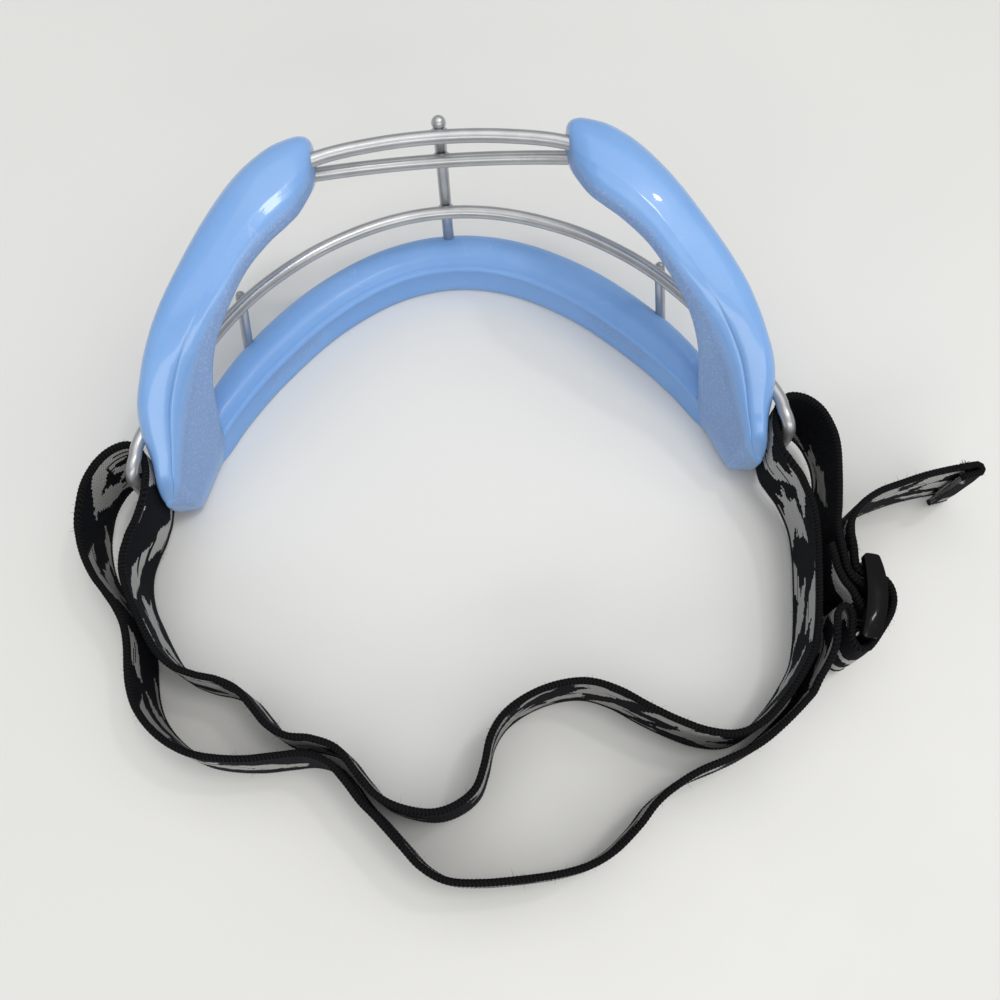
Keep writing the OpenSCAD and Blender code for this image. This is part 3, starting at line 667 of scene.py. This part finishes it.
def barPiece(name, foot, top, radius, tip):
    # an upright bar with a ball end
    foot, top = Vector(foot), Vector(top)
    axis = (top - foot).normalized()
    path = [foot.lerp(top - axis * tip * 0.7, k / 12) for k in range(13)]
    bm = bmesh.new()
    rows = loft(bm, ringsAlong(path, radius, wires["sides"]))
    capRows(bm, rows)
    ball = bmesh.ops.create_uvsphere(bm, u_segments=24, v_segments=14, radius=tip * mm)
    bmesh.ops.translate(bm, verts=ball["verts"], vec=top * mm)
    return finishMesh(bm, name)


def weldBead(bm, place, size, seed):
    made = bmesh.ops.create_uvsphere(bm, u_segments=20, v_segments=12, radius=mm)["verts"]
    for v in made:
        lump = 1 + wires["weldLump"] * noise.noise(v.co * 1400 + Vector((seed, 0, 0)))
        v.co = Vector((v.co.x * size[0], v.co.y * size[1], v.co.z * size[2])) * lump + Vector(place) * mm


# Strap loops: wire staples, with the legs as steps from the loop's place
loops = {
    "radius": 1.75, "place": (88.9, -76.5), "low": 2.4, "high": 31.6, "corner": 4.5, "lean": 0.3,
    "legHigh": [(-8.1, 21), (-4.4, 14.6), (-1.9, 8.6), (-1.35, 4.5)],
    "legLow": [(-11.3, 16), (-5.7, 13.9), (-1.9, 9.6), (-1.35, 4.5)], "middle": (22, 17, 12),
}


def loopPath(own, side):
    corner, lean = own["corner"], own["lean"]
    x, y = own["place"]

    def leg(steps, z):
        return smoothRow([(x + dx, y + dy, z) for dx, dy in steps], 5)[:-1]

    def turn(z, way):
        made = []
        for a in range(0, 91, 15):
            a = math.radians(a)
            d = corner * (1 - math.sin(a))
            made.append((x - lean * d, y + d, z - way * corner * (1 - math.cos(a))))
        return made

    path = leg(own["legHigh"], own["high"]) + turn(own["high"], 1) + [(x, y, z) for z in own["middle"]]
    path += turn(own["low"], -1)[::-1] + leg(own["legLow"], own["low"])[::-1]
    return [sided(side, p) for p in path]


def sided(side, point):
    return side * point[0], point[1], point[2]


def makeCage(w):
    rim, nose, eye = wirePaths(w)
    dress(wirePiece("rimWire", rim, w["radius"], True), steel, "goggles", "steel", "rim_wire")
    dress(wirePiece("noseWire", nose, w["radius"]), steel, "goggles", "steel", "nose_wire")
    dress(wirePiece("eyeWire", eye, w["radius"]), steel, "goggles", "steel", "eye_wire")
    dress(barPiece("centreBar", **w["centreBar"]), steel, "goggles", "steel", "centre_bar")
    for side, label in ((-1, "left"), (1, "right")):
        own = w["sideBar"]
        bar = barPiece("sideBar." + label, sided(side, own["foot"]), sided(side, own["top"]), own["radius"], own["tip"])
        dress(bar, steel, "goggles", "steel", "side_bar_" + label)
        staple = wirePiece("strapLoop." + label, loopPath(loops, side), loops["radius"])
        dress(staple, steel, "goggles", "steel", "strap_loop_" + label)
    bm = bmesh.new()
    centre, outer = w["centreWeld"], w["sideWeld"]
    for i, z in enumerate((w["rimZ"], w["noseZ"], w["eyeZ"])):
        for side in (-1, 1):
            weldBead(bm, (side * centre["x"], w["wireY"] + centre["ahead"], z), centre["size"], i * 7 + side)
    for side in (-1, 1):
        weldBead(bm, sided(side, outer["place"]), outer["size"], 31 + side)
    dress(finishMesh(bm, "weldBeads"), steel, "goggles", "steel")


makeCage(wires)
print("wires made")


# Head strap: one elastic band along one route. A point is (x, y, height of the middle, lean).
strap = {
    "halfWidth": 12.5, "thick": 2.2, "ringPitch": 0.28, "face": [(0.94, 6), (0.76, 10.3)],
    "beadRadius": 0.92, "beadPitch": 0.98, "beadDepth": 0.075, "beadSlant": 1.7, "beadAngles": (-38, 0, 30, 60),
    "low": 12.5, "high": 17.0, "slideAt": (99.6, -124.2), "slideTurn": 12.7, "slideZ": 15.4,
    "hem": 4.6, "hemRadius": 1.25, "routeSteps": 16, "innerShift": 410,
    "fuzz": [("strapFuzz", 2, 7, 420, 5, "goggles"), ("strapFreeFuzz", 9, 10, 110, 8, "slide")],
    "fuzzFoot": (11.4, 1.05), "fuzzLength": (0.5, 1.6), "fuzzRadius": (0.03, 0.05),
    "tuft": 45, "tuftLength": (0.8, 2.1), "tuftRadius": (0.11, 0.19),
    "stitches": {"rows": (1.5, 3.4), "out": 0.9, "width": 10.2, "count": 16, "size": (0.16, 0.1, 0.42)},
}


def onSlide(s, n, z=strap["slideZ"], lean=0):
    turn = math.radians(strap["slideTurn"])
    return (strap["slideAt"][0] - s * math.sin(turn) + n * math.cos(turn),
            strap["slideAt"][1] - s * math.cos(turn) - n * math.sin(turn), z, lean)


def level(points, z):
    return [(x, y, z, 0) for x, y in points]


def roundLoop(side, points):
    return [(side * loops["place"][0] + x, loops["place"][1] + y, strap["high"], 0) for x, y in points]


def strapRoute(b):
    low, high = b["low"], b["high"]
    lay = b["thick"] / 2 + 0.12
    sewnSide, sewnTop, barMid = 1.54 + lay, 4.2 + lay, 2.8
    freeTop = sewnTop + b["thick"] + 0.2
    sewnEnd = [onSlide(*p) for p in (
        (-14, -8.35), (-11, -7.35), (-7.7, -6.4), (-4.4, -4.6), (-2, -2.5), (0.6, -0.9), (2.5, 0.6), (sewnSide, barMid),
        (2.5, sewnTop - 0.7), (0, sewnTop), (-2.5, sewnTop - 0.7), (-sewnSide - 0.1, barMid), (-4.1, 0), (-5.4, -2.2),
        (-8, -3.95), (-11, -4.75))]
    takeUp = [onSlide(-15, -5.7), (97.5, -103, 15.6, 0), (98.6, -98, 16, 0), (99.9, -90.8, 16.6, 0)]
    turnRight = roundLoop(1, [(12.2, -5.5), (11.8, 0.5), (9.8, 6.1), (6.1, 9.7), (1.6, 10.5), (-1.9, 7.4), (-3.2, 2.8),
                              (-3.25, -1.8)])
    innerRight = roundLoop(1, [(-2.9, -5.2), (-1.3, -8.6)]) + [
        (90, -90, 16.3, 0), (91.8, -97.5, 15.5, 0), (91.8, -105.5, 14.5, 0), (90.8, -114, 13.6, 0),
        (89.4, -123, 12.8, 0)]
    innerRight += level([(88, -129.3), (85.8, -135.6), (81.8, -141.4), (76.4, -147.4), (70, -152.6), (63.2, -155),
                         (56, -153.9), (49, -150.8), (42, -146.7), (35, -142.1), (27.7, -139.3), (20, -139.4),
                         (12.4, -141.6), (5.8, -145.6), (1.8, -151), (-0.4, -158), (-3, -163.4)], low)
    innerLeft = level([(-8, -166.8), (-14, -168), (-21.3, -166.3), (-27, -163), (-31.5, -157.5), (-36.5, -151),
                       (-43, -148), (-49, -146.9), (-53.9, -143.7), (-57.6, -139), (-61.5, -134.3), (-66.5, -131.5),
                       (-72.5, -129.7), (-78, -127), (-82, -123), (-85.2, -117.6), (-88, -111.8)], low)
    innerLeft += [(-90.4, -106.2, 12.9, 0), (-91.4, -101, 13.6, 0), (-91.1, -96.3, 14.6, 0), (-89.6, -91.5, 15.6, 0),
                  (-87.6, -87, 16.3, 0)]
    turnLeft = roundLoop(-1, [(2.9, -5.4), (3.25, -1.8), (3.2, 2.8), (1.9, 7.4), (-1.6, 10.3), (-6.1, 9.3),
                              (-10.1, 5.7), (-12.9, 0.2)])
    outerLeft = [(-102.8, -82.5, high, 0), (-103, -88.5, 16, 0), (-101.8, -95, 15, 0), (-99.3, -101, 14, 0),
                 (-96, -106, 13.3, 0), (-93, -110.6, 12.9, 0)]
    outerLeft += level([(-90.8, -115.5), (-89.7, -121), (-89.2, -127), (-88.4, -132), (-86.6, -137), (-83.3, -141.8),
                        (-78.8, -146), (-73, -149.3), (-66.5, -151), (-59, -151.8), (-51.5, -151.6), (-44.8, -151.6),
                        (-39, -153.9), (-34.7, -158.8), (-31, -164), (-27, -168.4)], low)
    outerRight = level([(-21.5, -175), (-17, -180.2), (-11, -183.8), (-3, -184.9), (6, -184.9), (15.5, -184.4),
                        (23, -183), (29.5, -180), (36, -174.8), (40.5, -170.2), (45.2, -166.9), (52, -163.5),
                        (60, -161), (67.5, -158.2)], low)
    feed = [(74.5, -153.8, 12.7, 0), onSlide(26.5, -11.8, 13.2), onSlide(21, -9.3, 14.2)]
    freeRun = [onSlide(16, -7.2, 15)] + [onSlide(*p) for p in (
        (12, -6.2), (7.5, -6.1), (4.6, -6), (2.8, -4.9), (2.8, -3.5), (4.6, -2.45), (8, -2.4), (11, -2.3), (13.1, -0.7),
        (12.9, 1.4), (11, 3), (8, 4.7), (5, 6.3), (2.4, 7.4), (-0.8, freeTop + 0.1), (-4, 7.2), (-6.2, 5.3), (-6.7, 3),
        (-6.8, 1), (-8, -1.2), (-10, -1.95))]
    tail = [onSlide(-14, -2.4), onSlide(-18, -3.1, 15.3, 0), (101.6, -101.9, 15.1, 1), (105, -97.9, 14.9, 2),
            (110.4, -94.5, 14.7, 3), (116.6, -92.4, 14.5, 4), (123.4, -90.6, 14.4, 4), (130.2, -89.4, 14.3, 4),
            (136.2, -88.7, 14.2, 4)]
    return [sewnEnd, takeUp, turnRight, innerRight, innerLeft, turnLeft, outerLeft, outerRight, feed, freeRun,
            tail + hemTurn(tail)]


def hemTurn(tail):
    # the free end is folded under and sewn
    x, y, z, lean = tail[-1]
    ahead = Vector((x - tail[-2][0], y - tail[-2][1])).normalized()
    slope, radius, length = math.radians(lean), strap["hemRadius"], strap["hem"]

    def folded(along, out, tilt):
        return (x + along * ahead.x + out * math.cos(slope) * ahead.y,
                y + along * ahead.y - out * math.cos(slope) * ahead.x, z - out * math.sin(slope), tilt)

    made = []
    for a in range(0, 181, 30):
        a = math.radians(a)
        across = math.hypot(math.cos(a), math.sin(a) * math.cos(slope))
        tilt = math.degrees(math.asin(math.sin(slope) * math.cos(a) / across))
        made.append(folded(2 + radius * math.sin(a), radius * (1 - math.cos(a)), tilt))
    return made + [folded(2 - length * k / 3, 2 * radius + 0.1 * k, -lean) for k in (1, 2, 3)]


def bandSection(s):
    # half of the section, from the lower edge to the upper edge, as (out, up)
    b = strap
    radius, centre = b["beadRadius"], b["halfWidth"] - b["beadRadius"]

    def pearl(a):
        return radius * (1 + b["beadDepth"] * math.cos(2 * math.pi * s / b["beadPitch"] + b["beadSlant"] * a))

    bead = [(pearl(a) * math.cos(a), centre + pearl(a) * math.sin(a)) for a in map(math.radians, b["beadAngles"])]
    top = centre + pearl(math.pi / 2)
    rise = b["face"] + bead
    return [(0, -top)] + [(n, -w) for n, w in rise[::-1]] + rise + [(0, top)]


class Route:
    # the fine route with its length, so that any place along the strap can be asked for
    def __init__(self, stretches):
        rows = [p for stretch in stretches for p in stretch]
        steps = strap["routeSteps"]
        self.points = smoothRow(rows, steps)
        self.length = [0.0]
        for a, b in zip(self.points, self.points[1:]):
            self.length.append(self.length[-1] + (Vector(a[:3]) - Vector(b[:3])).length)
        starts, count = [], 0
        for stretch in stretches:
            starts.append(self.length[count * steps])
            count += len(stretch)
        self.starts = starts + [self.length[-1]]

    def at(self, s):
        low, high = 0, len(self.length) - 1
        while high - low > 1:
            middle = (low + high) // 2
            low, high = (middle, high) if self.length[middle] <= s else (low, middle)
        share = (s - self.length[low]) / max(self.length[high] - self.length[low], 1e-9)
        return [a + (b - a) * share for a, b in zip(self.points[low], self.points[high])]

    def frameAt(self, s):
        here, a, b = self.at(s), self.at(max(s - 0.3, 0)), self.at(min(s + 0.3, self.length[-1]))
        t = (Vector(b[:3]) - Vector(a[:3])).normalized()
        side = Vector((t.y, -t.x, 0)).normalized()
        rise = side.cross(t)
        lean = math.radians(here[3])
        out = math.cos(lean) * side - math.sin(lean) * rise
        return Vector(here[:3]), t, out, math.cos(lean) * rise + math.sin(lean) * side


def bandRing(route, s):
    centre, _, out, up = route.frameAt(s)
    half = bandSection(s)
    section = half + [(-n, w) for n, w in half[-2:0:-1]]
    return [(centre + n * out + w * up) * mm for n, w in section], [w for _, w in section]


def bandPiece(route, name, first, last):
    start, end = route.starts[first], route.starts[last + 1]
    count = max(8, round((end - start) / strap["ringPitch"]))
    stops = [start + (end - start) * i / count for i in range(count + 1)]
    made = [bandRing(route, s) for s in stops]
    bm = bmesh.new()
    rows = loft(bm, [ring for ring, _ in made])
    uv = bm.loops.layers.uv.new("strapMap")
    half = len(rows[0]) // 2
    # the inner face shows another stretch of the woven pattern
    place = {v: (s, w, k) for row, s, (_, widths) in zip(rows, stops, made)
             for k, (v, w) in enumerate(zip(row, widths))}
    for face in bm.faces:
        ks = [place[loop.vert][2] for loop in face.loops]
        inner = max(ks) > half or (0 in ks and max(ks) > 1)
        for loop in face.loops:
            s, w, _ = place[loop.vert]
            loop[uv].uv = ((s + (strap["innerShift"] if inner else 0)) * mm, w * mm)
    capRows(bm, rows)
    for row in (rows[0], rows[-1]):
        for pair in zip(row, row[1:] + row[:1]):
            bm.edges.get(pair).smooth = False
    return finishMesh(bm, name)


def fuzz(bm, base, direction, length, radius, droop):
    # one thin curved fibre
    path = [base + direction * length * t + droop * length * t * t for t in (0, 0.35, 0.7, 1)]
    rings = ringsAlong(path, lambda t: radius * (1 - 0.75 * t), 3)
    capRows(bm, loft(bm, rings))


def strapFuzz(route, name, first, last, count, seed):
    # loose fibres along both edges, most of them on the upper one
    dice = random.Random(seed)
    foot, rise = strap["fuzzFoot"]
    bm = bmesh.new()
    for _ in range(count):
        s = dice.uniform(route.starts[first] + 1, route.starts[last + 1] - 1)
        centre, t, out, up = route.frameAt(s)
        end = dice.choice((-1, 1, 1))
        angle = dice.uniform(-80, 80)
        away = up * end * math.cos(math.radians(angle)) + out * math.sin(math.radians(angle))
        base = centre + up * end * foot + away * rise
        direction = (away + t * dice.uniform(-0.9, 0.9)).normalized()
        droop = Vector((dice.uniform(-0.4, 0.4), dice.uniform(-0.4, 0.4), dice.uniform(-0.5, 0.2)))
        length = dice.uniform(*strap["fuzzLength"])
        # none reaches into the table
        if base.z + (direction.z + droop.z) * length < 0.1:
            continue
        fuzz(bm, base, direction, length, dice.uniform(*strap["fuzzRadius"]), droop)
    return finishMesh(bm, name)


def frayedTuft(route, count):
    # loose yarn ends at the upper corner of the hem
    dice = random.Random(3)
    bm = bmesh.new()
    for _ in range(count):
        centre, t, out, up = route.frameAt(route.starts[-1] - dice.uniform(11.5, 14))
        base = centre + up * 12.2 + out * dice.uniform(-0.7, 0.7)
        direction = up * dice.uniform(0.5, 1) + t * dice.uniform(-1, 0.7) + out * dice.uniform(-0.6, 0.6)
        droop = Vector((dice.uniform(-0.5, 0.5), dice.uniform(-0.5, 0.5), -0.25))
        length = dice.uniform(*strap["tuftLength"])
        fuzz(bm, base, direction.normalized(), length, dice.uniform(*strap["tuftRadius"]), droop)
    return finishMesh(bm, "strapTuft")


def stitchRow(bm, route, s, sewn):
    # short thread stitches across the strap, half sunk in its face
    centre, t, side, up = route.frameAt(s)
    width, count, size = sewn["width"], sewn["count"], sewn["size"]
    turn = Matrix((t, side, up)).transposed()
    for i in range(count):
        w = -width + 2 * width * (i + 0.5) / count
        made = bmesh.ops.create_icosphere(bm, subdivisions=2, radius=mm)["verts"]
        place = centre + side * sewn["out"] + up * w
        for v in made:
            v.co = (turn @ Vector((v.co.x * size[0], v.co.y * size[1], v.co.z * size[2]))) + place * mm


def makeStrap(b):
    route = Route(strapRoute(b))
    print("strap length in mm", round(route.length[-1], 1))
    band = bandPiece(route, "strapBand", 2, 7)
    dress(band, webbing, "goggles", "webbing", "strap_turn_right", "strap_inner_right", "strap_inner_left",
          "strap_turn_left", "strap_outer_left", "strap_outer_right")
    dress(bandPiece(route, "strapSewnEnd", 0, 0), webbing, "slide", "webbing", "strap_sewn_end")
    dress(bandPiece(route, "strapFreeEnd", 9, 10), webbing, "slide", "webbing", "strap_free_run", "strap_tail")
    for name, index, bodies, node in (("strapTakeUp", 1, ("slide", "goggles"), "strap_take_up"),
                                      ("strapFeed", 8, ("goggles", "slide"), "strap_feed")):
        piece = dress(bandPiece(route, name, index, index), webbing, None, "webbing", node)
        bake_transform(piece)
    for name, first, last, count, seed, body in b["fuzz"]:
        dress(strapFuzz(route, name, first, last, count, seed), thread, body, "webbing")
    bm = bmesh.new()
    for row in b["stitches"]["rows"]:
        stitchRow(bm, route, route.starts[-1] - row, b["stitches"])
    dress(finishMesh(bm, "strapStitches"), thread, "slide", "webbing")
    dress(frayedTuft(route, b["tuft"]), thread, "slide", "webbing")


makeStrap(strap)
print("strap made")


# Strap slide: the CAD slide with its edges rounded as moulded plastic is
slide = {"round": 0.6, "segments": 4, "merge": 0.002, "flatBelow": 1, "cornerFrom": 35}


def makeSlide(s):
    bm = bmesh.new()
    bm.from_mesh(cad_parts["strap_slide"].data)
    bmesh.ops.remove_doubles(bm, verts=bm.verts, dist=s["merge"] * mm)
    bmesh.ops.dissolve_limit(bm, angle_limit=math.radians(s["flatBelow"]), verts=bm.verts, edges=bm.edges)
    sharp = math.radians(s["cornerFrom"])
    corners = [e for e in bm.edges if len(e.link_faces) == 2 and e.calc_face_angle(0) > sharp]
    bmesh.ops.bevel(bm, geom=corners, offset=s["round"] * mm, offset_type="OFFSET", segments=s["segments"],
                    profile=0.5, affect="EDGES", material=-1, clamp_overlap=True)
    piece = finishMesh(bm, "slideBody", merge=0.000001)
    dress(piece, plastic, "slide", "slide_plastic", "strap_slide")


makeSlide(slide)
print("slide made")


# Table, backdrop and light
setting = {"table": (0.74, 0.735, 0.715, 1), "shade": 1.04, "tableSize": 6, "rough": 0.42,
           "backdrop": (0.8, 0.8, 0.79, 1), "sky": (0.95, 0.975, 1.0, 1), "skyStrength": 0.42, "lit": (0, -0.09, 0.02)}
warm = (1, 0.99, 0.97)
lamps = [
    {"name": "lowWindow", "place": (0.25, -1.6, 0.9), "size": (2.2, 0.45), "power": 9, "colour": (1, 0.985, 0.96)},
    {"name": "brightCeiling", "place": (0.15, -0.15, 1.7), "size": (2.4, 2.4), "power": 17, "colour": warm},
    {"name": "ceilingLamp", "place": (0.35, -0.15, 1.5), "size": (0.24, 0.3), "power": 3.2, "colour": warm},
    {"name": "farLamp", "place": (0.64, 0.13, 1.5), "size": (0.08, 0.1), "power": 1.7, "colour": warm},
]


def makeTable(s):
    bm = bmesh.new()
    bmesh.ops.create_grid(bm, x_segments=1, y_segments=1, size=s["tableSize"] / 2)
    bmesh.ops.translate(bm, verts=bm.verts, vec=(0, 0, cadBox[0].z - 0.00002))
    table = finishMesh(bm, "table", smooth=False)
    material, tree, shader = newMaterial("tableTop", {"Specular IOR Level": 0.3})
    place = objectPlace(tree)
    grain = useGroup(tree, grainGroup, Vector=place, Scale=900.0)
    broad = speckle(tree, place, 4, 2)
    paler = tuple(c * s["shade"] for c in s["table"][:3]) + (1,)
    tree.links.new(mixed(tree, ramped(tree, broad, 0.3, 0.7), s["table"], paler), shader.inputs["Base Color"])
    roughened(tree, shader, s["rough"], 0.1, grain)
    bumped(tree, shader, grain.outputs["Height"], 0.12, 0.0002)
    table.data.materials.append(material)


def makeLight(s):
    world = bpy.data.worlds.new("softRoom")
    world.use_nodes = True
    bpy.context.scene.world = world
    tree = world.node_tree
    light = tree.nodes["Background"]
    light.inputs["Color"].default_value = s["sky"]
    light.inputs["Strength"].default_value = s["skyStrength"]
    pale = addNode(tree, "ShaderNodeBackground", None, {"Color": s["backdrop"], "Strength": 1.0})
    camera = addNode(tree, "ShaderNodeLightPath").outputs["Is Camera Ray"]
    both = addNode(tree, "ShaderNodeMixShader", None, {0: camera, 1: light.outputs[0], 2: pale.outputs[0]})
    tree.links.new(both.outputs[0], tree.nodes["World Output"].inputs["Surface"])
    for lamp in lamps:
        data = bpy.data.lights.new(lamp["name"], "AREA")
        data.shape = "RECTANGLE"
        data.size, data.size_y = lamp["size"]
        data.energy = lamp["power"]
        data.color = lamp["colour"]
        placed = bpy.data.objects.new(lamp["name"], data)
        placed.location = lamp["place"]
        placed.rotation_euler = (Vector(s["lit"]) - Vector(lamp["place"])).to_track_quat("-Z", "Y").to_euler()
        bpy.context.scene.collection.objects.link(placed)


makeTable(setting)
makeLight(setting)
bpy.context.scene.view_settings.view_transform = "Standard"
print("light made")
